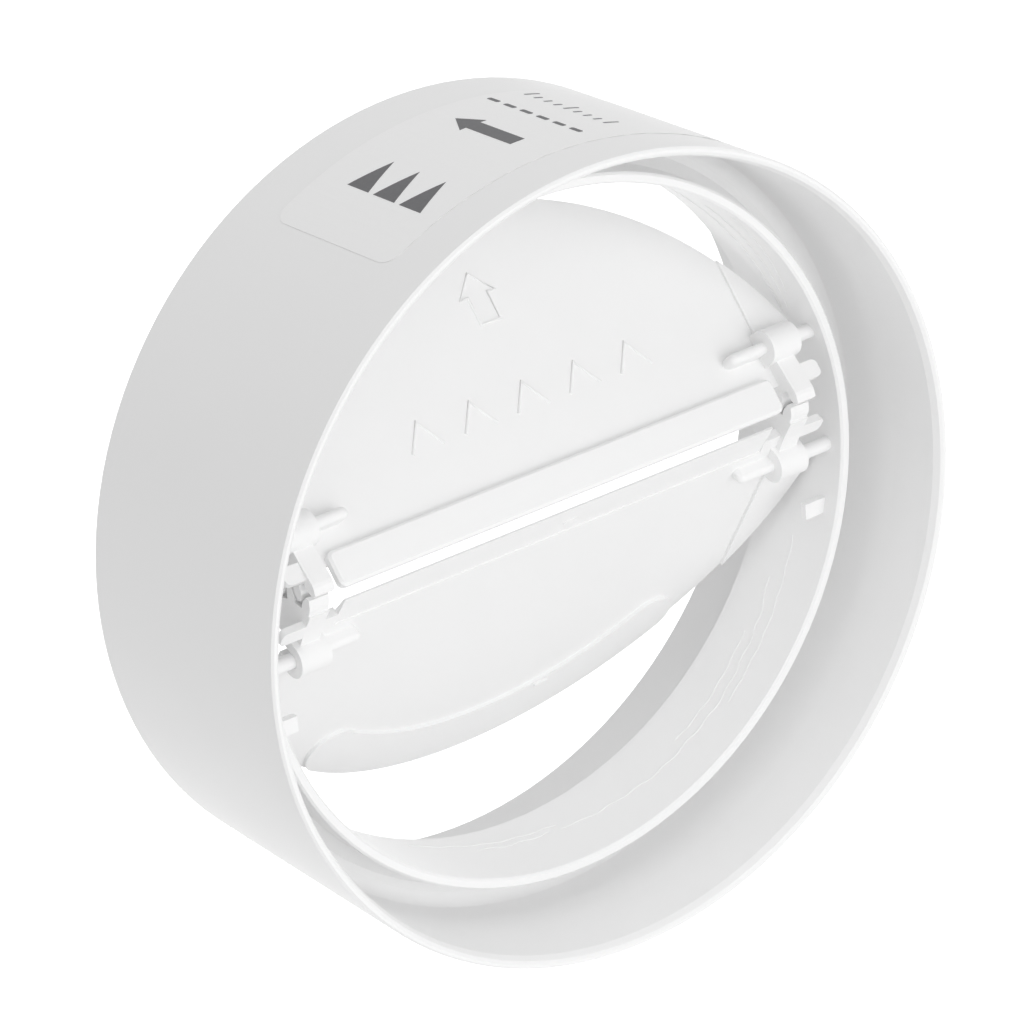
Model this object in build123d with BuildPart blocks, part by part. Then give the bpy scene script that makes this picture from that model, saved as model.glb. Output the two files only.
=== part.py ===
"""Duct butterfly valve: a sleeve with an inner ring and two geared flaps, in millimetres.

The duct runs along Y with the air entering at -Y, and +Z is up.  The origin is the middle of the sleeve.
"""
import os
from math import acos, cos, pi, radians, sin, sqrt, tan

from build123d import *

os.makedirs("parts", exist_ok=True)

# sleeve, web and inner ring
duct_outside_radius = 62.5
duct_clearance = 0.25
sleeve_wall = 1.75
sleeve_length = 47.5
sleeve_draft = 0.9
mouth_length = 9.0
lead_in = 0.6
lead_in_length = 1.5
front_draft = 0.6
rear_wall = 1.85
web_thickness = 1.8
web_gusset = 2.0
duct_to_ring_gap = 5.8
ring_wall = 1.75
ring_length = 18.5
rim_bevel = 0.35

# gear sectors that turn the two flaps together
gear_module = 1.3
upper_teeth = 14
lower_teeth = 17
pressure_angle = radians(20)
addendum = 0.8 * gear_module
dedendum = 1.1 * gear_module
tooth_thinning = 0.3
last_tooth = 3

# hinges
upper_hinge_height = 15.85
hinge_forward = 5.4
pin_radius = 1.2
pin_clearance = 0.05
pin_end_gap = 0.3
pin_root = 0.6
eye_radius = 2.8
eye_length = 5.5
eye_to_ring = 6.2
bore_floor = 0.8
snap_slot_share = 0.88
rib_length = 5.9
rib_radius = 0.95

# flaps
upper_open_angle = 39.0
flap_gap = 0.6
upper_plate_drop = 2.1
lower_plate_drop = 1.3
plate_thickness = 1.5
corner_rise = 0.5
crease_to_ring = 10.8
meeting_share = 0.52
meeting_gap = 0.5
strip_side_gap = 1.0
lip_side_gap = 2.3
upper_strip_start = 4.5
upper_strip_rise = 1.6
upper_strip_overlap = 1.6
strip_bevel = 0.4
strip_corner = 1.1
lip_start = 3.1
side_tongue = 5.7
lip_sink = 0.25
lip_lean = 0.25
lip_edge = 0.35
arm_inset = 0.9
arm_width = 3.6
upper_arm_front = 0.2
lower_arm_front = -0.5
arm_tip = 1.2
root_gap = 0.2
finger_start = 4.4
finger_width = 2.9
finger_thickness = 1.2
finger_to_ring = 3.0
finger_corner = 1.0

# weight pad on the lower flap and closing stops on the ring
pad_width_share = 0.167
pad_half_angle = 39.0
pad_height = 0.6
stop_height = 2.6
stop_depth = 1.2
stop_drop = 10.0
stop_reach = 3.2
stop_gap = 0.3

# sizes that follow
socket_radius = duct_outside_radius + duct_clearance
sleeve_radius = socket_radius + sleeve_wall
half_length = sleeve_length / 2
rear_outside_radius = sleeve_radius - sleeve_draft
rear_radius = rear_outside_radius - rear_wall
half_web = web_thickness / 2
ring_outside_radius = socket_radius - duct_to_ring_gap
ring_radius = ring_outside_radius - ring_wall
half_ring = ring_length / 2
flap_radius = ring_radius - flap_gap
hinge_spacing = gear_module * (upper_teeth + lower_teeth) / 2
lower_hinge_height = upper_hinge_height - hinge_spacing
lower_open_angle = upper_open_angle * upper_teeth / lower_teeth
eye_end = ring_radius - eye_to_ring
eye_start = eye_end - eye_length
arm_start = eye_start + arm_inset
arm_middle = arm_start + arm_width / 2
pin_start = eye_start + bore_floor + pin_end_gap
crease = ring_radius - crease_to_ring
strip_half_width = eye_start - strip_side_gap
lip_half_width = eye_start - lip_side_gap
upper_front = -upper_plate_drop
lower_front = -lower_plate_drop
# the two flaps meet edge to edge when closed
upper_reach = hinge_spacing * meeting_share - meeting_gap / 2
lower_reach = hinge_spacing * (1 - meeting_share) - meeting_gap / 2


def flap_frame(hinge_height, open_angle):
    """Plane of a flap: x along the hinge, y out towards the rim, z to the front of the closed flap."""
    side = 1 if hinge_height > 0 else -1
    swing = radians(open_angle)
    return Plane(
        origin=(0, -hinge_forward, hinge_height),
        x_dir=(side, 0, 0),
        z_dir=(0, -cos(swing), side * sin(swing)),
    )


def side_plane(frame, along):
    """Plane across the hinge at a distance along it: x out towards the rim, y to the front."""
    return Plane(origin=frame.from_local_coords((along, 0, 0)), x_dir=frame.y_dir, z_dir=frame.x_dir)


def sector_outline(plane, teeth, half_step):
    """Toothed sector round the hinge, from the inward direction of the flap towards its back."""
    pitch_radius = gear_module * teeth / 2
    base_radius = pitch_radius * cos(pressure_angle)
    root_radius = pitch_radius - dedendum
    tip_radius = pitch_radius + addendum
    step = 2 * pi / teeth
    half_tooth = (pi * gear_module / 2 - tooth_thinning) / (2 * pitch_radius)

    def half_angle(radius):
        reach = acos(base_radius / max(radius, base_radius))
        return half_tooth + (tan(pressure_angle) - pressure_angle) - (tan(reach) - reach)

    def place(radius, angle):
        return (-radius * cos(angle), -radius * sin(angle))

    rise = sorted((root_radius, base_radius, pitch_radius, tip_radius))
    points = [(0, 0)]
    for tooth in range(last_tooth + 1):
        middle = (tooth + half_step) * step
        points += [place(radius, middle - half_angle(radius)) for radius in rise]
        points += [place(radius, middle + half_angle(radius)) for radius in reversed(rise)]
    with BuildSketch(plane) as outline:
        with BuildLine():
            Polyline(*points, close=True)
        make_face()
    return outline.sketch


def eye_outline(plane, plate_front):
    """Round eye on the hinge axis, carried down to the back of the flap."""
    depth = plate_thickness - plate_front
    with BuildSketch(plane) as outline:
        Circle(eye_radius)
        with Locations((0, -depth / 2)):
            Rectangle(2 * eye_radius, depth)
    return outline.sketch


def bore_outline(plane, plate_front):
    """Bore for the pin with its snap slot, which is open to the back of the flap."""
    depth = plate_thickness - plate_front
    with BuildSketch(plane) as outline:
        Circle(pin_radius + pin_clearance)
        with Locations((0, -depth)):
            Rectangle(2 * pin_radius * snap_slot_share, 2 * depth)
    return outline.sketch


def rib_outline(plane, plate_front):
    """Round-topped rib in line with the pin."""
    with BuildSketch(plane) as outline:
        Circle(rib_radius)
        with Locations((0, plate_front / 2)):
            Rectangle(2 * rib_radius, -plate_front)
    return outline.sketch


def arm_outline(plane, teeth, arm_front, plate_front):
    """Flat-fronted arm from the eye to the root of the teeth."""
    reach = gear_module * teeth / 2 - dedendum - root_gap
    with BuildSketch(plane) as outline:
        with BuildLine():
            Polyline(
                (0, arm_front),
                (-reach, arm_front),
                (-reach, arm_front - arm_tip),
                (0, plate_front - plate_thickness),
                close=True,
            )
        make_face()
    return outline.sketch


def finger_outline(plane, hinge_height, side):
    """Flat finger with a round end that stands out from the side of the arm towards the ring."""
    middle = finger_start + finger_width / 2
    start = arm_start + finger_corner
    end = sqrt(ring_radius**2 - (abs(hinge_height) - middle) ** 2) - finger_to_ring
    with BuildSketch(plane) as outline:
        with Locations((side * (start + end) / 2, -middle)):
            RectangleRounded(end - start, finger_width, finger_corner)
    return outline.sketch


def plate_outline(plane, axis_drop, tongue, half_width):
    """Part of the flap between its creases, from the hinge to the rim, with a tongue towards the other flap."""
    with BuildSketch(plane) as outline:
        with Locations((0, -axis_drop)):
            Circle(flap_radius)
        with Locations((0, flap_radius / 2)):
            Rectangle(2 * crease, flap_radius, mode=Mode.INTERSECT)
        with Locations((0, -tongue / 2)):
            Rectangle(2 * half_width, tongue)
    return outline.sketch


def corner_outline(plane, axis_drop):
    """Raised ends of the flap outside its creases, clear of the ring beside the eyes."""
    with BuildSketch(plane) as outline:
        with Locations((0, -axis_drop)):
            Circle(flap_radius)
        with Locations((0, flap_radius / 2)):
            Rectangle(2 * flap_radius, flap_radius, mode=Mode.INTERSECT)
        Rectangle(2 * crease, 3 * flap_radius, mode=Mode.SUBTRACT)
        for side in (-1, 1):
            with Locations((side * (eye_end + flap_radius) / 2, 0)):
                Rectangle(flap_radius - eye_end, 2 * eye_radius, mode=Mode.SUBTRACT)
    return outline.sketch


def strip_outline(plane):
    """Round-cornered strip along the meeting edge of the upper flap."""
    with BuildSketch(plane) as outline:
        with Locations((0, -(upper_strip_start + upper_reach) / 2)):
            RectangleRounded(2 * strip_half_width, upper_reach - upper_strip_start, strip_corner)
    return outline.sketch


def lip_outline(plane):
    """Lip along the meeting edge of the lower flap: sunk a little, leaning forward and thin at its edge."""
    edge_front = lower_front + lip_lean
    with BuildSketch(plane) as outline:
        with BuildLine():
            Polyline(
                (-lip_start, lower_front - lip_sink),
                (-lower_reach, edge_front),
                (-lower_reach, edge_front - lip_edge),
                (-lip_start, lower_front - plate_thickness),
                close=True,
            )
        make_face()
    return outline.sketch


# One-piece moulding: the sleeve, the web and the ring turned about the duct, with hinge pins and stops.
with BuildPart() as valve_body:
    with BuildSketch(Plane.XY) as turned:
        with BuildLine():
            Polyline(
                (ring_outside_radius + web_gusset, -half_web),
                (socket_radius - front_draft, -half_web),
                (socket_radius, -half_length + lead_in_length + mouth_length),
                (socket_radius, -half_length + lead_in_length),
                (socket_radius + lead_in, -half_length),
                (sleeve_radius, -half_length),
                (rear_outside_radius, half_length),
                (rear_radius, half_length),
                (rear_radius, half_web),
                (ring_outside_radius + web_gusset, half_web),
                (ring_outside_radius, half_web + web_gusset),
                (ring_outside_radius, half_ring),
                (ring_radius, half_ring),
                (ring_radius, -half_ring),
                (ring_outside_radius, -half_ring),
                (ring_outside_radius, -half_web - web_gusset),
                close=True,
            )
        make_face()
        for edge_height in (-half_length, -half_ring, half_ring, half_length):
            chamfer(
                turned.vertices().filter_by_position(Axis.Y, edge_height - 0.01, edge_height + 0.01),
                rim_bevel,
            )
    revolve(axis=Axis.Y)
    for hinge_height in (upper_hinge_height, lower_hinge_height):
        wall = sqrt(ring_radius**2 - hinge_height**2) + pin_root
        for side in (-1, 1):
            with BuildSketch(Plane.YZ.offset(side * pin_start)):
                with Locations((-hinge_forward, hinge_height)):
                    Circle(pin_radius)
            extrude(amount=side * (wall - pin_start))
    stop_back = -hinge_forward - lower_front - corner_rise - stop_gap
    stop_middle = lower_hinge_height - stop_drop
    stop_start = sqrt(flap_radius**2 - stop_middle**2) - stop_reach
    stop_end = sqrt(ring_radius**2 - (stop_middle + stop_height / 2) ** 2) + pin_root
    for side in (-1, 1):
        with Locations((side * (stop_start + stop_end) / 2, stop_back - stop_depth / 2, stop_middle)):
            Box(stop_end - stop_start, stop_depth, stop_height)

# One-piece moulding: the upper flap, whose raised strip meets the lip of the lower one when closed.
upper_frame = flap_frame(upper_hinge_height, upper_open_angle)
upper_back = upper_frame.offset(upper_front - plate_thickness)
with BuildPart() as upper_flap:
    extrude(
        plate_outline(upper_back, upper_hinge_height, upper_strip_start + upper_strip_overlap, arm_middle),
        amount=plate_thickness,
    )
    extrude(corner_outline(upper_back, upper_hinge_height), amount=plate_thickness + corner_rise)
    extrude(strip_outline(upper_frame.offset(upper_front)), amount=upper_strip_rise - strip_bevel)
    extrude(
        strip_outline(upper_frame.offset(upper_front + upper_strip_rise - strip_bevel)),
        amount=strip_bevel,
        taper=45,
    )
    for side in (-1, 1):
        hinge_end = side_plane(upper_frame, side * eye_start)
        extrude(eye_outline(hinge_end, upper_front), amount=side * eye_length)
        extrude(rib_outline(hinge_end, upper_front), amount=-side * rib_length)
        arm_end = side_plane(upper_frame, side * arm_start)
        extrude(arm_outline(arm_end, upper_teeth, upper_arm_front, upper_front), amount=side * arm_width)
        extrude(sector_outline(arm_end, upper_teeth, 0), amount=side * arm_width)
        extrude(
            finger_outline(upper_frame.offset(upper_arm_front), upper_hinge_height, side),
            amount=-finger_thickness,
        )
        with BuildSketch(upper_frame.offset(upper_front)):
            with Locations((side * (eye_start - rib_length), 0)):
                Circle(rib_radius)
        extrude(amount=-upper_front)
        with Locations(upper_frame.location * Location((side * (eye_start - rib_length), 0, 0))):
            Sphere(rib_radius)
    for side in (-1, 1):
        bore_end = side_plane(upper_frame, side * (eye_start + bore_floor))
        extrude(bore_outline(bore_end, upper_front), amount=side * 2 * eye_length, mode=Mode.SUBTRACT)

# One-piece moulding: the lower flap, with its thin lip and the raised pad that weights its rim.
lower_frame = flap_frame(lower_hinge_height, lower_open_angle)
lower_back = lower_frame.offset(lower_front - plate_thickness)
with BuildPart() as lower_flap:
    extrude(plate_outline(lower_back, -lower_hinge_height, lip_start, lip_half_width), amount=plate_thickness)
    extrude(corner_outline(lower_back, -lower_hinge_height), amount=plate_thickness + corner_rise)
    extrude(lip_outline(side_plane(lower_frame, -lip_half_width)), amount=2 * lip_half_width)
    pad_width = flap_radius * pad_width_share
    with BuildSketch(lower_frame.offset(lower_front)):
        with BuildLine(mode=Mode.PRIVATE):
            pad_line = CenterArc(
                (0, lower_hinge_height),
                flap_radius - pad_width / 2,
                90 - pad_half_angle,
                2 * pad_half_angle,
            )
        SlotArc(pad_line, pad_width)
    extrude(amount=pad_height)
    for side in (-1, 1):
        with BuildSketch(lower_back):
            with Locations((side * (lip_half_width + arm_middle) / 2, -side_tongue / 2)):
                Rectangle(arm_middle - lip_half_width, side_tongue)
        extrude(amount=plate_thickness)
        hinge_end = side_plane(lower_frame, side * eye_start)
        extrude(eye_outline(hinge_end, lower_front), amount=side * eye_length)
        extrude(rib_outline(hinge_end, lower_front), amount=-side * rib_length)
        arm_end = side_plane(lower_frame, side * arm_start)
        extrude(arm_outline(arm_end, lower_teeth, lower_arm_front, lower_front), amount=side * arm_width)
        extrude(sector_outline(arm_end, lower_teeth, 0.5), amount=side * arm_width)
        extrude(
            finger_outline(lower_frame.offset(lower_arm_front), lower_hinge_height, side),
            amount=-finger_thickness,
        )
        with BuildSketch(lower_frame.offset(lower_front)):
            with Locations((side * (eye_start - rib_length), 0)):
                Circle(rib_radius)
        extrude(amount=-lower_front)
        with Locations(lower_frame.location * Location((side * (eye_start - rib_length), 0, 0))):
            Sphere(rib_radius)
    for side in (-1, 1):
        bore_end = side_plane(lower_frame, side * (eye_start + bore_floor))
        extrude(bore_outline(bore_end, lower_front), amount=side * 2 * eye_length, mode=Mode.SUBTRACT)

valve_body.part.label = "valve_body"
upper_flap.part.label = "upper_flap"
lower_flap.part.label = "lower_flap"
export_step(valve_body.part, "parts/valve_body.step")
export_step(upper_flap.part, "parts/upper_flap.step")
export_step(lower_flap.part, "parts/lower_flap.step")
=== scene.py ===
"""Looks of a white plastic duct butterfly valve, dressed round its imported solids."""
import logging
import math
from dataclasses import dataclass
from enum import Enum
from typing import Protocol, Sequence

import bmesh
import bpy
from mathutils import Matrix, Vector


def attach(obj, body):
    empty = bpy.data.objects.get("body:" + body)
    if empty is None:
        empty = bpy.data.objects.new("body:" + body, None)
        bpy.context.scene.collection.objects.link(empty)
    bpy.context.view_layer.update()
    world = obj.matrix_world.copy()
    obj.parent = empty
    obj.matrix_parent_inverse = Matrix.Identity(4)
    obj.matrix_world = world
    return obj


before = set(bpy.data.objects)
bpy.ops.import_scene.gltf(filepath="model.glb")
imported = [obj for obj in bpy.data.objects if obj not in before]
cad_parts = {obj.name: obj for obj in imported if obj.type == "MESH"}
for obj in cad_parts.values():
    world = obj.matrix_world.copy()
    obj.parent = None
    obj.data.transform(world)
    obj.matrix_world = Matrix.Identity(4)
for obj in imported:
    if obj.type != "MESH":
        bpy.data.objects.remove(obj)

LOG = logging.getLogger("butterfly_valve")
MM = 0.001
Point = tuple[float, float]
Path = tuple[Sequence[Point], bool]
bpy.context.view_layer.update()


class Body(Enum):
    """CAD bodies that the dressed pieces ride on."""

    SLEEVE = "body"
    UPPER = "upper"
    LOWER = "lower"


class Slot(Enum):
    """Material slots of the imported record."""

    BODY = "body_plastic"
    FLAP = "flap_plastic"


def linear(hex_colour: str) -> tuple[float, float, float, float]:
    """Turns an sRGB hex colour to linear.

    Args:
        hex_colour: Six hex digits after a hash.

    Returns:
        Red, green and blue in linear light, and an alpha of one.
    """
    shares = [int(hex_colour[at:at + 2], 16) / 255 for at in (1, 3, 5)]
    light = [c / 12.92 if c <= 0.04045 else ((c + 0.055) / 1.055) ** 2.4 for c in shares]
    return (*light, 1.0)


def add_node(
    tree: bpy.types.NodeTree, kind: str, links: dict | None = None, **settings
) -> bpy.types.Node:
    """Adds a node with its settings, its socket values and its links.

    Args:
        tree: Node tree that gets the node.
        kind: Blender's identifier of the node.
        links: Input name or number to a value, or to the output socket that feeds it.
        settings: Attributes of the node.

    Returns:
        The new node.
    """
    node = tree.nodes.new(kind)
    for name, value in settings.items():
        setattr(node, name, value)
    for name, value in (links or {}).items():
        socket = node.inputs[name]
        if isinstance(value, bpy.types.NodeSocket):
            tree.links.new(value, socket)
        else:
            socket.default_value = value
    return node


def empty_tree(owner: bpy.types.Material | bpy.types.World) -> bpy.types.NodeTree:
    """Gives a material or world an empty node tree.

    Args:
        owner: Material or world.

    Returns:
        Its node tree.
    """
    owner.use_nodes = True
    owner.node_tree.nodes.clear()
    return owner.node_tree


def add_noise(tree: bpy.types.NodeTree, cell_mm: float, detail: float) -> bpy.types.NodeSocket:
    """Adds noise that is fixed to the object.

    Args:
        tree: Node tree that gets the noise.
        cell_mm: Size of its cells, in millimetres.
        detail: Number of finer layers.

    Returns:
        The noise's value.
    """
    place = add_node(tree, "ShaderNodeTexCoord")
    noise = add_node(
        tree,
        "ShaderNodeTexNoise",
        {"Vector": place.outputs["Object"], "Scale": 1 / (cell_mm * MM), "Detail": detail},
    )
    return noise.outputs["Fac"]


def add_tint(
    tree: bpy.types.NodeTree, share: bpy.types.NodeSocket, shade: str, colour: str
) -> bpy.types.NodeSocket:
    """Mixes two close colours.

    Args:
        tree: Node tree that gets the mix.
        share: Share of the second colour.
        shade: First colour as hex.
        colour: Second colour as hex.

    Returns:
        The mixed colour.
    """
    tint = add_node(
        tree,
        "ShaderNodeMix",
        {"Factor": share, 6: linear(shade), 7: linear(colour)},
        data_type="RGBA",
    )
    return tint.outputs[2]


def add_plain_sight(tree: bpy.types.NodeTree) -> bpy.types.NodeSocket:
    """Tells rays that see a backdrop, straight or mirrored or through glass, from rays that light the object.

    Args:
        tree: Node tree of the backdrop.

    Returns:
        One where the backdrop is seen, else zero.
    """
    ray = add_node(tree, "ShaderNodeLightPath")
    seen = ray.outputs["Is Camera Ray"]
    for kind in ("Is Glossy Ray", "Is Transmission Ray"):
        either = add_node(tree, "ShaderNodeMath", {0: seen, 1: ray.outputs[kind]}, operation="MAXIMUM")
        seen = either.outputs["Value"]
    return seen


@dataclass(frozen=True)
class MouldedPlastic:
    """White thermoplastic from a polished or lightly spark-eroded mould."""

    name: str
    colour: str
    shade: str
    roughness: float
    grain_mm: float
    cloud_mm: float
    bump: float
    roughness_spread: float = 0.05
    grain_depth_mm: float = 0.05
    refraction: float = 1.5

    def material(self) -> bpy.types.Material:
        """Makes the plastic: a clean white with a faint cloudiness and a fine moulded skin.

        Returns:
            The finished material.
        """
        made = bpy.data.materials.new(self.name)
        tree = empty_tree(made)
        cloud = add_noise(tree, self.cloud_mm, 3.0)
        grain = add_noise(tree, self.grain_mm, 2.0)
        rough = add_node(
            tree,
            "ShaderNodeMapRange",
            {
                "Value": cloud,
                "To Min": self.roughness - self.roughness_spread,
                "To Max": self.roughness + self.roughness_spread,
            },
        )
        skin = add_node(
            tree,
            "ShaderNodeBump",
            {"Height": grain, "Strength": self.bump, "Distance": self.grain_depth_mm * MM},
        )
        shader = add_node(
            tree,
            "ShaderNodeBsdfPrincipled",
            {
                "Base Color": add_tint(tree, cloud, self.shade, self.colour),
                "Roughness": rough.outputs["Result"],
                "Normal": skin.outputs["Normal"],
                "IOR": self.refraction,
            },
        )
        add_node(tree, "ShaderNodeOutputMaterial", {"Surface": shader.outputs["BSDF"]})
        return made


# ABS sleeve: satin and even, so the long curved wall shows one soft gradient with a weak sheen.
SLEEVE_PLASTIC = MouldedPlastic("satin_white_abs", "#fafafa", "#f8f8f8", 0.42, 0.9, 14.0, 0.10)
# Polystyrene flaps: a little whiter and flatter than the sleeve, with a fine eroded skin.
FLAP_PLASTIC = MouldedPlastic("matt_white_polystyrene", "#fbfbfb", "#f9f9f9", 0.5, 0.6, 9.0, 0.16)


@dataclass(frozen=True)
class CoatedPaper:
    """Self-adhesive label of coated paper, or the ink printed on it."""

    name: str
    colour: str
    shade: str
    roughness: float
    fibre_mm: float
    refraction: float = 1.45

    def material(self) -> bpy.types.Material:
        """Makes the paper or ink: flat and smooth with a trace of fibre.

        Returns:
            The finished material.
        """
        made = bpy.data.materials.new(self.name)
        tree = empty_tree(made)
        fibre = add_noise(tree, self.fibre_mm, 4.0)
        shader = add_node(
            tree,
            "ShaderNodeBsdfPrincipled",
            {
                "Base Color": add_tint(tree, fibre, self.shade, self.colour),
                "Roughness": self.roughness,
                "IOR": self.refraction,
            },
        )
        add_node(tree, "ShaderNodeOutputMaterial", {"Surface": shader.outputs["BSDF"]})
        return made


# Label stock: slightly brighter than the sleeve, with a soft sheen.
LABEL_PAPER = CoatedPaper("coated_white_label_paper", "#fefefe", "#fcfcfc", 0.45, 0.8)
# Ink: a thin black that the white coating shows through, so it reads as an uneven dark grey.
LABEL_INK = CoatedPaper("thin_black_printing_ink", "#666668", "#707072", 0.55, 0.7)


class Ground(Protocol):
    """A surface that flat shapes are laid on."""

    def place(self, across: float, along: float, height: float) -> Vector:
        """Gives the point in metres for flat millimetres on the surface and a height above it."""


@dataclass(frozen=True)
class SleeveWall:
    """Outer wall of the sleeve, a cone that narrows by its draft.

    Across runs round it, along with the duct.
    """

    front_radius: float = 64.5
    rear_radius: float = 63.6
    half_length: float = 23.75

    def radius(self, along: float) -> float:
        """Radius of the wall at a place along the duct.

        Args:
            along: Distance along the duct from the middle, in millimetres.

        Returns:
            The radius in millimetres.
        """
        share = (along + self.half_length) / (2 * self.half_length)
        return self.front_radius + share * (self.rear_radius - self.front_radius)

    def place(self, across: float, along: float, height: float) -> Vector:
        """Places a point on the wall.

        Args:
            across: Arc length from the top towards +X, in millimetres.
            along: Distance along the duct from the middle, in millimetres.
            height: Height above the wall, in millimetres.

        Returns:
            The point in metres.
        """
        radius = self.radius(along)
        angle = across / radius
        reach = radius + height
        return Vector((reach * math.sin(angle), along, reach * math.cos(angle))) * MM


@dataclass(frozen=True)
class FlapFace:
    """Front face of a flap at rest: across runs along its hinge and along towards its rim."""

    hinge_height: float
    open_angle: float
    face_behind_axis: float
    hinge_forward: float = 5.4

    def place(self, across: float, along: float, height: float) -> Vector:
        """Places a point on the flap's front face.

        Args:
            across: Distance along +X, in millimetres.
            along: Distance from the hinge axis towards the rim, in millimetres.
            height: Height in front of the face, in millimetres.

        Returns:
            The point in metres.
        """
        side = math.copysign(1.0, self.hinge_height)
        swing = math.radians(self.open_angle)
        front = height - self.face_behind_axis
        y = -self.hinge_forward + along * math.sin(swing) - front * math.cos(swing)
        z = self.hinge_height + side * (along * math.cos(swing) + front * math.sin(swing))
        return Vector((across, y, z)) * MM


UPPER_FACE = FlapFace(15.85, 39.0, 2.1)
LOWER_LIP = FlapFace(-4.3, 32.118, 1.36)
LOWER_PAD = FlapFace(-4.3, 32.118, 0.7)


@dataclass(frozen=True)
class RingBore:
    """Inner wall of the ring: across runs round it from the right-hand side upwards, along with the duct."""

    radius: float = 55.2

    def place(self, across: float, along: float, height: float) -> Vector:
        """Places a point on the bore.

        Args:
            across: Arc length from +X upwards, in millimetres.
            along: Distance along the duct from the middle, in millimetres.
            height: Height towards the duct's axis, in millimetres.

        Returns:
            The point in metres.
        """
        angle = across / self.radius
        reach = self.radius - height
        return Vector((reach * math.cos(angle), along, reach * math.sin(angle))) * MM


def link_mesh(
    name: str, mesh: bpy.types.Mesh, finish: bpy.types.Material | None
) -> bpy.types.Object:
    """Links a mesh to the scene as an object at the origin.

    Args:
        name: Name of the piece.
        mesh: Mesh with its place in its points.
        finish: Material of the piece, or none where it needs none.

    Returns:
        The new object.
    """
    if finish is not None:
        mesh.materials.clear()
        mesh.materials.append(finish)
    piece = bpy.data.objects.new(name, mesh)
    bpy.context.scene.collection.objects.link(piece)
    return piece


def link_work(name: str, work: bmesh.types.BMesh, finish: bpy.types.Material) -> bpy.types.Object:
    """Turns finished mesh work into a piece and frees the work.

    Args:
        name: Name of the piece.
        work: Mesh work with its place in its points.
        finish: Material of the piece.

    Returns:
        The new object.
    """
    mesh = bpy.data.meshes.new(name)
    work.to_mesh(mesh)
    work.free()
    return link_mesh(name, mesh, finish)


def lay_plates(
    name: str,
    outlines: Sequence[Sequence[Point]],
    ground: Ground,
    low: float,
    high: float,
    finish: bpy.types.Material,
    step: float = 2.0,
) -> bpy.types.Object:
    """Lays thin flat plates on a curved ground.

    Args:
        name: Name of the piece.
        outlines: Closed outlines in millimetres on the ground.
        ground: Surface that carries the plates.
        low: Height of the plates' underside above the ground.
        high: Height of their top.
        finish: Material of the plates.
        step: Spacing of the cuts that let a plate bend.

    Returns:
        One object with all the plates.
    """
    work = bmesh.new()
    for outline in outlines:
        corners = [work.verts.new((u, v, low)) for u, v in outline]
        floor = work.faces.new(corners)
        grown = bmesh.ops.extrude_face_region(work, geom=[floor])
        for item in grown["geom"]:
            if isinstance(item, bmesh.types.BMVert):
                item.co.z = high
    reach = [corner[0] for outline in outlines for corner in outline]
    cut = math.floor(min(reach) / step) * step
    while cut < max(reach):
        bmesh.ops.bisect_plane(
            work,
            geom=work.verts[:] + work.edges[:] + work.faces[:],
            plane_co=(cut, 0, 0),
            plane_no=(1, 0, 0),
        )
        cut += step
    for corner in work.verts:
        corner.co = ground.place(*corner.co)
    bmesh.ops.recalc_face_normals(work, faces=work.faces[:])
    return link_work(name, work, finish)


def rounded_box(across: Point, along: Point, corner: float, steps: int = 8) -> list[Point]:
    """Outline of a rectangle with round corners.

    Args:
        across: Lowest and highest place across.
        along: Lowest and highest place along.
        corner: Radius of the corners.
        steps: Straight pieces in each corner.

    Returns:
        The outline's points in turn.
    """
    middles = [
        (across[1] - corner, along[1] - corner),
        (across[0] + corner, along[1] - corner),
        (across[0] + corner, along[0] + corner),
        (across[1] - corner, along[0] + corner),
    ]
    points = []
    for quarter, (u, v) in enumerate(middles):
        for at in range(steps + 1):
            angle = math.radians(90 * (quarter + at / steps))
            points.append((u + corner * math.cos(angle), v + corner * math.sin(angle)))
    return points


@dataclass(frozen=True)
class Arrow:
    """Plain arrow that points along; its head has a width and a length."""

    tip: Point
    length: float
    shaft: float
    head: Point

    def outline(self) -> list[Point]:
        """Outline of the arrow.

        Returns:
            The outline's points in turn.
        """
        u, v = self.tip
        wide, deep = self.head[0] / 2, self.head[1]
        slim = self.shaft / 2
        return [
            (u, v),
            (u - wide, v - deep),
            (u - slim, v - deep),
            (u - slim, v - self.length),
            (u + slim, v - self.length),
            (u + slim, v - deep),
            (u + wide, v - deep),
        ]


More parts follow.
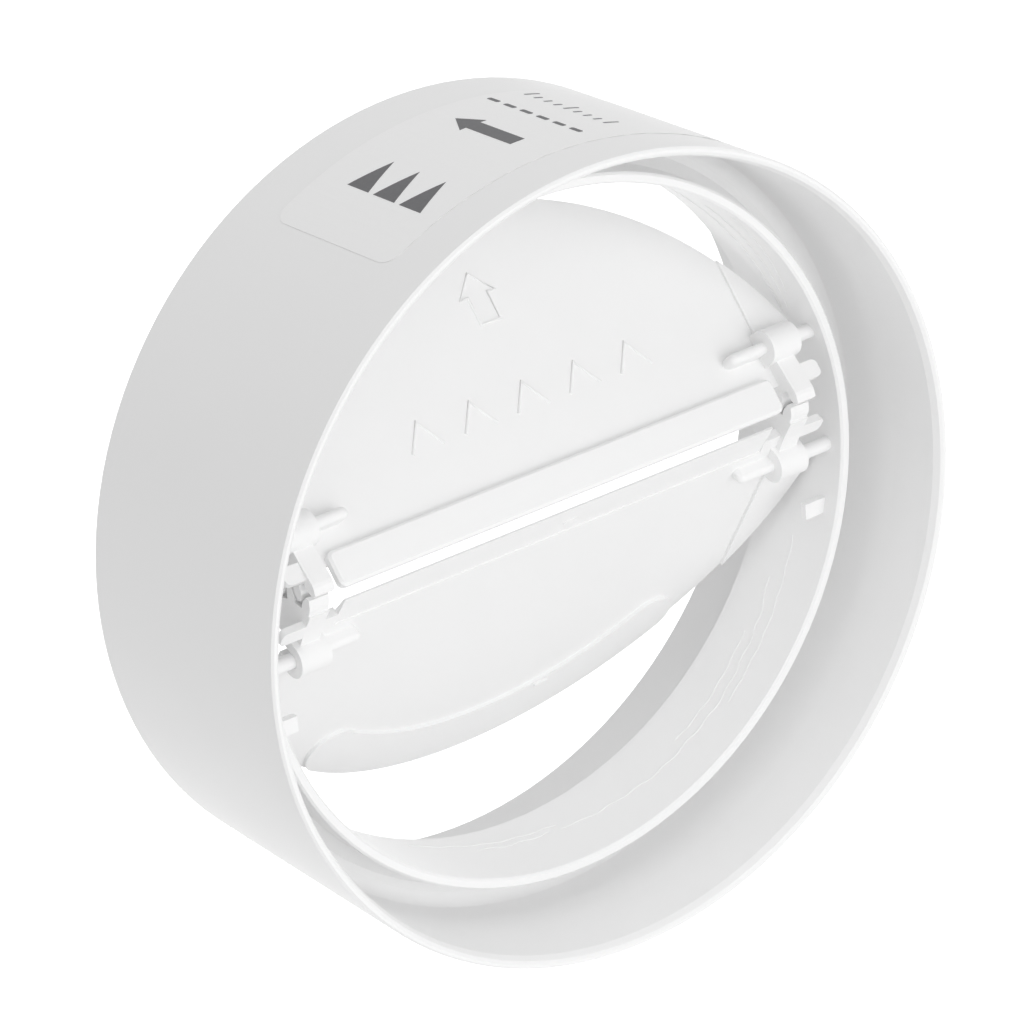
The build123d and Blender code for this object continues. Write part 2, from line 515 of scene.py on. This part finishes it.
class RaisedLine:
    """Geometry Nodes tree that runs a round bead along the edges of a path."""

    SIDES = 8

    def __init__(self) -> None:
        """Builds the tree with its named inputs."""
        self.tree = bpy.data.node_groups.new("raised_line", "GeometryNodeTree")
        shape = self.tree.interface
        shape.new_socket("Path", in_out="INPUT", socket_type="NodeSocketGeometry")
        self.radius = shape.new_socket("Bead Radius", in_out="INPUT", socket_type="NodeSocketFloat")
        self.finish = shape.new_socket("Finish", in_out="INPUT", socket_type="NodeSocketMaterial")
        shape.new_socket("Bead", in_out="OUTPUT", socket_type="NodeSocketGeometry")
        given = add_node(self.tree, "NodeGroupInput")
        path = add_node(self.tree, "GeometryNodeMeshToCurve", {"Mesh": given.outputs["Path"]})
        section = add_node(
            self.tree,
            "GeometryNodeCurvePrimitiveCircle",
            {"Resolution": self.SIDES, "Radius": given.outputs["Bead Radius"]},
            mode="RADIUS",
        )
        bead = add_node(
            self.tree,
            "GeometryNodeCurveToMesh",
            {
                "Curve": path.outputs["Curve"],
                "Profile Curve": section.outputs["Curve"],
                "Fill Caps": True,
            },
        )
        whole = add_node(self.tree, "GeometryNodeRealizeInstances", {"Geometry": bead.outputs["Mesh"]})
        dressed = add_node(
            self.tree,
            "GeometryNodeSetMaterial",
            {"Geometry": whole.outputs["Geometry"], "Material": given.outputs["Finish"]},
        )
        add_node(self.tree, "NodeGroupOutput", {"Bead": dressed.outputs["Geometry"]})

    def run(
        self,
        name: str,
        paths: Sequence[Path],
        ground: Ground,
        radius: float,
        finish: bpy.types.Material,
    ) -> bpy.types.Object:
        """Runs the bead along paths that lie on a ground, half sunk in it.

        Args:
            name: Name of the piece.
            paths: Points of each path in millimetres, and whether it closes.
            ground: Surface that carries the bead.
            radius: Radius of the bead, in millimetres.
            finish: Material of the bead.

        Returns:
            One plain mesh object with all the beads.
        """
        points: list[Vector] = []
        edges: list[tuple[int, int]] = []
        for path, closed in paths:
            first = len(points)
            points += [ground.place(u, v, 0.0) for u, v in path]
            edges += [(at, at + 1) for at in range(first, len(points) - 1)]
            if closed:
                edges.append((len(points) - 1, first))
        mesh = bpy.data.meshes.new(name + "_path")
        mesh.from_pydata(points, edges, [])
        maker = link_mesh(name + "_path", mesh, None)
        modifier = maker.modifiers.new("bead", "NODES")
        modifier.node_group = self.tree
        modifier[self.radius.identifier] = radius * MM
        modifier[self.finish.identifier] = finish
        graph = bpy.context.evaluated_depsgraph_get()
        made = bpy.data.meshes.new_from_object(maker.evaluated_get(graph))
        maker.modifiers.remove(modifier)
        bpy.data.objects.remove(maker)
        made.name = name
        made.shade_smooth()
        return link_mesh(name, made, finish)


@dataclass
class FlowLabel:
    """Paper label on top of the sleeve with a printed flow arrow and plain marks."""

    wall: SleeveWall
    across: Point = (-33.0, 33.0)
    along: Point = (-15.0, 13.8)
    corner: float = 2.8
    glue: float = 0.01
    paper: float = 0.05
    ink: float = 0.02
    arrow: Arrow = Arrow((-1.4, 8.0), 15.2, 2.7, (5.0, 4.4))
    triangle_across: Point = (-22.8, -15.6)
    triangle_middles: tuple[float, ...] = (-8.2, -1.8, 4.6)
    triangle_half: float = 2.6
    dash_across: Point = (7.5, 8.4)
    dash_start: float = -10.5
    dash_step: float = 4.0
    dash_length: float = 2.6
    dash_corner: float = 0.3
    dash_count: int = 6
    tick_foot: float = 14.2
    tick_start: float = -8.0
    tick_step: float = 2.4
    tick_width: float = 0.5
    tick_corner: float = 0.2
    tick_long: float = 3.0
    tick_short: float = 1.7
    tick_count: int = 9
    ticks_to_long: int = 4
    mark_corner_steps: int = 3
    mark_step: float = 1.0

    def marks(self) -> list[list[Point]]:
        """Printed shapes: the flow arrow, up-pointing triangles, a dash row and a row of ticks.

        Returns:
            Outlines on the sleeve's wall.
        """
        shapes = [self.arrow.outline()]
        foot, peak = self.triangle_across
        for middle in self.triangle_middles:
            low, high = middle - self.triangle_half, middle + self.triangle_half
            shapes.append([(foot, low), (peak, middle), (foot, high)])
        for dash in range(self.dash_count):
            along = self.dash_start + self.dash_step * dash
            ends = (along, along + self.dash_length)
            shapes.append(rounded_box(self.dash_across, ends, self.dash_corner, self.mark_corner_steps))
        for tick in range(self.tick_count):
            along = self.tick_start + self.tick_step * tick
            tall = self.tick_short if tick % self.ticks_to_long else self.tick_long
            rise = (self.tick_foot, self.tick_foot + tall)
            ends = (along, along + self.tick_width)
            shapes.append(rounded_box(rise, ends, self.tick_corner, self.mark_corner_steps))
        return shapes

    def build(self, paper: bpy.types.Material, ink: bpy.types.Material) -> list[bpy.types.Object]:
        """Lays the label and its print on the sleeve.

        Args:
            paper: Material of the label.
            ink: Material of the print.

        Returns:
            The label and the print.
        """
        sheet = rounded_box(self.across, self.along, self.corner)
        top = self.glue + self.paper
        high = top + self.ink
        return [
            lay_plates("flow_label", [sheet], self.wall, self.glue, top, paper),
            lay_plates("flow_label_print", self.marks(), self.wall, top, high, ink, self.mark_step),
        ]


@dataclass
class FlapMarks:
    """Raised signs moulded on the front of the upper flap."""

    face: FlapFace
    bead: float = 0.28
    arrow: Arrow = Arrow((2.2, 27.7), 8.2, 3.7, (6.6, 3.6))
    chevron_rise: float = 4.6
    chevron_width: float = 6.0
    chevron_step: float = 10.0
    chevron_count: int = 5
    chevron_foot: float = 4.6

    def build(self, line: RaisedLine, finish: bpy.types.Material) -> bpy.types.Object:
        """Runs raised lines round an arrow and a row of chevrons that show the flap's top.

        Args:
            line: Tree that makes the raised line.
            finish: Material of the flap.

        Returns:
            The raised signs.
        """
        paths: list[Path] = [(self.arrow.outline(), True)]
        first = self.arrow.tip[0] - self.chevron_step * (self.chevron_count - 1) / 2
        half = self.chevron_width / 2
        foot, peak = self.chevron_foot, self.chevron_foot + self.chevron_rise
        for at in range(self.chevron_count):
            middle = first + at * self.chevron_step
            paths.append(([(middle - half, foot), (middle, peak), (middle + half, foot)], False))
        return line.run("upper_flap_signs", paths, self.face, self.bead, finish)


@dataclass(frozen=True)
class MouldTrace:
    """Small raised trace of a mould's gate or ejector on a flap."""

    name: str
    face: FlapFace
    middle: Point
    half_size: Point
    height: float
    sunk: float = 0.1
    corner: float = 0.35
    corner_steps: int = 4

    def build(self, finish: bpy.types.Material) -> bpy.types.Object:
        """Lays the trace on its face.

        Args:
            finish: Material of the flap.

        Returns:
            The trace.
        """
        (u, v), (wide, deep) = self.middle, self.half_size
        sides, ends = (u - wide, u + wide), (v - deep, v + deep)
        outline = rounded_box(sides, ends, self.corner, self.corner_steps)
        return lay_plates(self.name, [outline], self.face, -self.sunk, self.height, finish)


LOWER_TRACES = (
    MouldTrace("lip_gate_trace", LOWER_LIP, (2.6, -5.5), (1.4, 0.45), 0.12),
    MouldTrace("pad_ejector_trace", LOWER_PAD, (11.6, 40.8), (1.3, 0.4), 0.3),
)


@dataclass(frozen=True)
class FlashPath:
    """One flash line: its angles on the bore, its two ends along the duct, its bow and its waviness."""

    start: int
    end: int
    first: float
    last: float
    bow: float
    wave: float

    def points(self, radius: float) -> list[Point]:
        """Gives the line's points, one for each degree, in millimetres on the bore.

        Args:
            radius: Radius of the bore.

        Returns:
            Arc length and place along the duct of each point.
        """
        path = []
        for angle in range(self.start, self.end + 1):
            share = (angle - self.start) / (self.end - self.start)
            sag = self.bow * 4 * share * (1 - share)
            straight = self.first + share * (self.last - self.first) - sag
            drift = math.sin(1.1 * angle) + 0.6 * math.sin(0.41 * angle + 1.3)
            path.append((math.radians(angle) * radius, straight + self.wave * drift))
        return path


@dataclass
class MouldFlash:
    """Thin wavy lines of flash left by the mould on the ring's bore."""

    bore: RingBore
    radius: float = 0.13
    lines: tuple[FlashPath, ...] = (
        FlashPath(-116, -88, 5.9, 2.6, 0.0, 0.16),
        FlashPath(-104, -90, 2.6, 1.2, 0.0, 0.3),
        FlashPath(-88, -30, 1.2, 2.1, 2.7, 0.22),
        FlashPath(-62, -40, 1.2, 2.4, 0.3, 0.14),
        FlashPath(-52, -22, -2.6, -0.4, 0.2, 0.12),
        FlashPath(18, 50, 0.2, 4.2, 0.4, 0.03),
        FlashPath(20, 47, -1.6, -0.9, 0.2, 0.03),
        FlashPath(24, 46, -3.4, -6.2, 0.0, 0.03),
    )

    def build(self, line: RaisedLine, finish: bpy.types.Material) -> bpy.types.Object:
        """Runs the flash lines along the bore.

        Args:
            line: Tree that makes the raised line.
            finish: Material of the sleeve.

        Returns:
            The flash lines.
        """
        paths = [(path.points(self.bore.radius), False) for path in self.lines]
        return line.run("ring_flash_lines", paths, self.bore, self.radius, finish)


@dataclass
class GrooveCove:
    """Hollow rounding between the web and the sleeve at the bottom of the duct's groove."""

    wall_radius: float = 62.3
    web_front: float = -0.87
    cove: float = 2.4
    sunk: float = 0.25
    arc_steps: int = 8
    turn_steps: int = 240

    def profile(self) -> list[Point]:
        """Closed outline of the rounding as radius and place along the duct.

        Returns:
            The outline's points in turn: two sunk in the sleeve, the arc, and one sunk in the web.
        """
        middle_radius, middle_along = self.wall_radius - self.cove, self.web_front - self.cove
        sunk_radius, sunk_along = self.wall_radius + self.sunk, self.web_front + self.sunk
        points = [(sunk_radius, sunk_along), (sunk_radius, middle_along)]
        for at in range(self.arc_steps + 1):
            angle = math.pi / 2 * at / self.arc_steps
            inwards, back = self.cove * math.cos(angle), self.cove * math.sin(angle)
            points.append((middle_radius + inwards, middle_along + back))
        points.append((middle_radius, sunk_along))
        return points

    def build(self, finish: bpy.types.Material) -> bpy.types.Object:
        """Turns the outline about the duct.

        Args:
            finish: Material of the sleeve.

        Returns:
            The ring-shaped rounding.
        """
        work = bmesh.new()
        outline = self.profile()
        rings = []
        for turn in range(self.turn_steps):
            angle = 2 * math.pi * turn / self.turn_steps
            across, up = math.sin(angle), math.cos(angle)
            places = [Vector((reach * across, along, reach * up)) * MM for reach, along in outline]
            rings.append([work.verts.new(place) for place in places])
        arc = range(2, 2 + self.arc_steps)
        for turn, ring in enumerate(rings):
            after = rings[(turn + 1) % self.turn_steps]
            for at in range(len(outline)):
                over = (at + 1) % len(outline)
                face = work.faces.new((ring[at], ring[over], after[over], after[at]))
                face.smooth = at in arc
        bmesh.ops.recalc_face_normals(work, faces=work.faces[:])
        return link_work("groove_cove", work, finish)


@dataclass(frozen=True)
class Softbox:
    """Square lamp that faces the valve: its place and sides in metres and its power in watts."""

    name: str
    place: tuple[float, float, float]
    size: float
    power: float

    def hang(self) -> bpy.types.Object:
        """Hangs the lamp.

        Returns:
            The lamp.
        """
        data = bpy.data.lights.new(self.name, "AREA")
        data.size = self.size
        data.energy = self.power
        lamp = bpy.data.objects.new(self.name, data)
        lamp.location = self.place
        lamp.rotation_euler = (-Vector(self.place)).to_track_quat("-Z", "Y").to_euler()
        bpy.context.scene.collection.objects.link(lamp)
        return lamp


@dataclass
class Studio:
    """Pale floor, soft light and the photograph's camera."""

    floor_drop: float = 0.34
    floor_reach: float = 20.0
    floor_colour: str = "#f2f2f2"
    surround: float = 0.567
    softboxes: tuple[Softbox, ...] = (
        Softbox("front_softbox", (0.1, -1.6, 0.1), 1.4, 10.8),
        Softbox("top_softbox", (0.0, -0.3, 1.5), 1.0, 2.8),
        Softbox("side_softbox", (-0.8, -1.1, 0.65), 0.8, 1.3),
    )
    picture: int = 1024
    sensor: float = 36.0
    focal_pixels: float = 5297.7
    distance: float = 12.5535 * 64.5 * MM
    azimuth: float = -37.645
    elevation: float = 21.907
    roll: float = 5.56
    aim_mm: tuple[float, float, float] = (0.0, -0.27, 0.0)
    centre_shift: Point = (17.7, 7.3)
    clip: Point = (0.01, 50.0)

    def camera(self) -> bpy.types.Object:
        """Sets the camera where the photograph was taken from.

        Returns:
            The camera.
        """
        around, above = math.radians(self.azimuth), math.radians(self.elevation)
        level = math.cos(above)
        back = Vector((math.sin(around) * level, -math.cos(around) * level, math.sin(above)))
        right = Vector((math.cos(around), math.sin(around), 0.0))
        up = back.cross(right)
        unroll = Matrix.Rotation(math.radians(self.roll), 3, "Y")
        right, up, back = unroll @ right, unroll @ up, unroll @ back
        data = bpy.data.cameras.new("photograph")
        data.sensor_width = self.sensor
        data.lens = self.focal_pixels * self.sensor / self.picture
        data.shift_x = -self.centre_shift[0] / self.picture
        data.shift_y = self.centre_shift[1] / self.picture
        data.clip_start, data.clip_end = self.clip
        camera = bpy.data.objects.new("photograph", data)
        place = Vector(self.aim_mm) * MM + back * self.distance
        rows = [(right[row], up[row], back[row], place[row]) for row in range(3)]
        camera.matrix_world = Matrix(rows + [(0.0, 0.0, 0.0, 1.0)])
        bpy.context.scene.collection.objects.link(camera)
        bpy.context.scene.camera = camera
        return camera

    def floor(self) -> bpy.types.Object:
        """Lays the pale floor well below the held valve.

        Returns:
            The floor.
        """
        made = bpy.data.materials.new("pale_studio_floor")
        tree = empty_tree(made)
        paint = add_node(tree, "ShaderNodeBsdfDiffuse", {"Color": linear(self.floor_colour)})
        glow = add_node(
            tree,
            "ShaderNodeEmission",
            {"Color": linear("#ffffff"), "Strength": add_plain_sight(tree)},
        )
        both = add_node(
            tree, "ShaderNodeAddShader", {0: paint.outputs["BSDF"], 1: glow.outputs["Emission"]}
        )
        add_node(tree, "ShaderNodeOutputMaterial", {"Surface": both.outputs["Shader"]})
        work = bmesh.new()
        bmesh.ops.create_grid(work, x_segments=1, y_segments=1, size=self.floor_reach)
        bmesh.ops.translate(work, vec=(0.0, 0.0, -self.floor_drop), verts=work.verts[:])
        floor = link_work("studio_floor", work, made)
        return floor

    def lights(self) -> None:
        """Lights the valve with a white surround, a broad lamp in front and weak ones above and beside it."""
        world = bpy.data.worlds.new("white_surround")
        tree = empty_tree(world)
        strength = add_node(
            tree,
            "ShaderNodeMapRange",
            {"Value": add_plain_sight(tree), "To Min": self.surround, "To Max": 1.0},
        )
        light = add_node(
            tree,
            "ShaderNodeBackground",
            {"Color": linear("#ffffff"), "Strength": strength.outputs["Result"]},
        )
        add_node(tree, "ShaderNodeOutputWorld", {"Surface": light.outputs["Background"]})
        bpy.context.scene.world = world
        for softbox in self.softboxes:
            softbox.hang()


def dress_node(node: str, finish: bpy.types.Material) -> None:
    """Gives a CAD node its finish.

    Args:
        node: Name of the node.
        finish: Material for all its faces.
    """
    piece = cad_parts[node]
    piece.data.materials.clear()
    piece.data.materials.append(finish)
    LOG.info("dressed %s", node)


def settle(piece: bpy.types.Object, body: Body) -> None:
    """Lets a piece ride on its body.

    Args:
        piece: Finished piece.
        body: Body that carries it.
    """
    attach(piece, body.value)
    LOG.info("made %s on %s", piece.name, body.value)


def main() -> None:
    logging.basicConfig(level=logging.INFO, format="%(message)s")
    bpy.context.scene.view_settings.view_transform = "Standard"
    sleeve = SLEEVE_PLASTIC.material()
    flap = FLAP_PLASTIC.material()
    dress_node("valve_body", sleeve)
    dress_node("upper_flap", flap)
    dress_node("lower_flap", flap)
    for piece in FlowLabel(SleeveWall()).build(LABEL_PAPER.material(), LABEL_INK.material()):
        settle(piece, Body.SLEEVE)
    line = RaisedLine()
    settle(FlapMarks(UPPER_FACE).build(line, flap), Body.UPPER)
    settle(MouldFlash(RingBore()).build(line, sleeve), Body.SLEEVE)
    settle(GrooveCove().build(sleeve), Body.SLEEVE)
    for trace in LOWER_TRACES:
        settle(trace.build(flap), Body.LOWER)
    studio = Studio()
    studio.floor()
    studio.lights()
    studio.camera()


if __name__ == "__main__":
    main()
